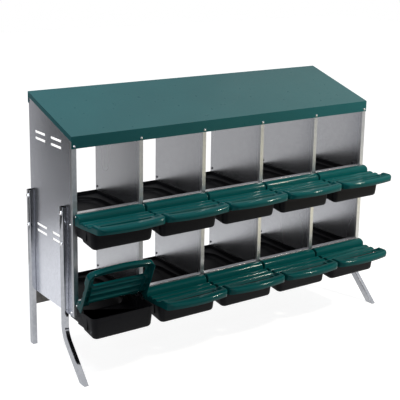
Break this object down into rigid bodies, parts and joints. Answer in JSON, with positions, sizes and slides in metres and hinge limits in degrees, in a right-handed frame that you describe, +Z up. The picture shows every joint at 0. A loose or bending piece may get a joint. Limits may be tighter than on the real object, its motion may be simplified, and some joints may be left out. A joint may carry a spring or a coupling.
{
  "type": "roll-out nesting box",
  "caption": "Tiered roll-out nesting box: galvanised cabinet with a sloping green roof on tube legs, and black moulded nest pans whose front trays have hinged green lids.",
  "frame": {"origin": "middle of the footprint box, on the floor", "axes": "+X across the box to the viewer's right, +Z up, front with the trays towards -Y"},
  "size_m": [1.5512, 0.5815, 1.0635],
  "materials": {
    "green_paint": "semi-gloss dark green coat on folded sheet",
    "galvanised": "bright galvanised sheet and tube",
    "bright_steel": "bright zinc-plated rod and bolts",
    "black_plastic": "black moulded plastic, satin",
    "green_plastic": "glossy deep green moulded plastic"
  },
  "bodies": {
    "cabinet": {"roof": "green_paint", "left_side_panel": "galvanised", "right_side_panel": "galvanised", "divider_1": "galvanised", "divider_2": "galvanised", "divider_3": "galvanised", "divider_4": "galvanised", "front_post_1": "galvanised", "front_post_2": "galvanised", "front_post_3": "galvanised", "front_post_4": "galvanised", "front_post_5": "galvanised", "front_post_6": "galvanised", "lower_rear_rail": "galvanised", "lower_hinge_rod": "bright_steel", "lower_sill_1": "galvanised", "lower_sill_2": "galvanised", "lower_sill_3": "galvanised", "lower_sill_4": "galvanised", "lower_sill_5": "galvanised", "lower_nest_pan_1": "black_plastic", "lower_nest_pan_2": "black_plastic", "lower_nest_pan_3": "black_plastic", "lower_nest_pan_4": "black_plastic", "lower_nest_pan_5": "black_plastic", "upper_rear_rail": "galvanised", "upper_hinge_rod": "bright_steel", "upper_sill_1": "galvanised", "upper_sill_2": "galvanised", "upper_sill_3": "galvanised", "upper_sill_4": "galvanised", "upper_sill_5": "galvanised", "upper_nest_pan_1": "black_plastic", "upper_nest_pan_2": "black_plastic", "upper_nest_pan_3": "black_plastic", "upper_nest_pan_4": "black_plastic", "upper_nest_pan_5": "black_plastic", "left_front_leg": "galvanised", "left_front_top_bolt": "bright_steel", "left_front_bottom_bolt": "bright_steel", "left_rear_leg": "galvanised", "left_rear_top_bolt": "bright_steel", "left_rear_bottom_bolt": "bright_steel", "right_front_leg": "galvanised", "right_front_top_bolt": "bright_steel", "right_front_bottom_bolt": "bright_steel", "right_rear_leg": "galvanised", "right_rear_top_bolt": "bright_steel", "right_rear_bottom_bolt": "bright_steel"},
    "lower_lid_1": {"lower_lid_1": "green_plastic"},
    "lower_lid_2": {"lower_lid_2": "green_plastic"},
    "lower_lid_3": {"lower_lid_3": "green_plastic"},
    "lower_lid_4": {"lower_lid_4": "green_plastic"},
    "lower_lid_5": {"lower_lid_5": "green_plastic"},
    "upper_lid_1": {"upper_lid_1": "green_plastic"},
    "upper_lid_2": {"upper_lid_2": "green_plastic"},
    "upper_lid_3": {"upper_lid_3": "green_plastic"},
    "upper_lid_4": {"upper_lid_4": "green_plastic"},
    "upper_lid_5": {"upper_lid_5": "green_plastic"}
  },
  "joints": [
    {"name": "lower_lid_1_hinge", "type": "hinge", "parent": "cabinet", "child": "lower_lid_1", "pos_m": [-0.6, -0.08775, 0.2875], "axis": [-1, 0, 0], "range_deg": [-62, 30]},
    {"name": "lower_lid_2_hinge", "type": "hinge", "parent": "cabinet", "child": "lower_lid_2", "pos_m": [-0.3, -0.08775, 0.2875], "axis": [-1, 0, 0], "range_deg": [0, 92]},
    {"name": "lower_lid_3_hinge", "type": "hinge", "parent": "cabinet", "child": "lower_lid_3", "pos_m": [0, -0.08775, 0.2875], "axis": [-1, 0, 0], "range_deg": [0, 92]},
    {"name": "lower_lid_4_hinge", "type": "hinge", "parent": "cabinet", "child": "lower_lid_4", "pos_m": [0.3, -0.08775, 0.2875], "axis": [-1, 0, 0], "range_deg": [0, 92]},
    {"name": "lower_lid_5_hinge", "type": "hinge", "parent": "cabinet", "child": "lower_lid_5", "pos_m": [0.6, -0.08775, 0.2875], "axis": [-1, 0, 0], "range_deg": [0, 92]},
    {"name": "upper_lid_1_hinge", "type": "hinge", "parent": "cabinet", "child": "upper_lid_1", "pos_m": [-0.6, -0.08775, 0.641], "axis": [-1, 0, 0], "range_deg": [0, 92]},
    {"name": "upper_lid_2_hinge", "type": "hinge", "parent": "cabinet", "child": "upper_lid_2", "pos_m": [-0.3, -0.08775, 0.641], "axis": [-1, 0, 0], "range_deg": [0, 92]},
    {"name": "upper_lid_3_hinge", "type": "hinge", "parent": "cabinet", "child": "upper_lid_3", "pos_m": [0, -0.08775, 0.641], "axis": [-1, 0, 0], "range_deg": [0, 92]},
    {"name": "upper_lid_4_hinge", "type": "hinge", "parent": "cabinet", "child": "upper_lid_4", "pos_m": [0.3, -0.08775, 0.641], "axis": [-1, 0, 0], "range_deg": [0, 92]},
    {"name": "upper_lid_5_hinge", "type": "hinge", "parent": "cabinet", "child": "upper_lid_5", "pos_m": [0.6, -0.08775, 0.641], "axis": [-1, 0, 0], "range_deg": [0, 92]}
  ]
}
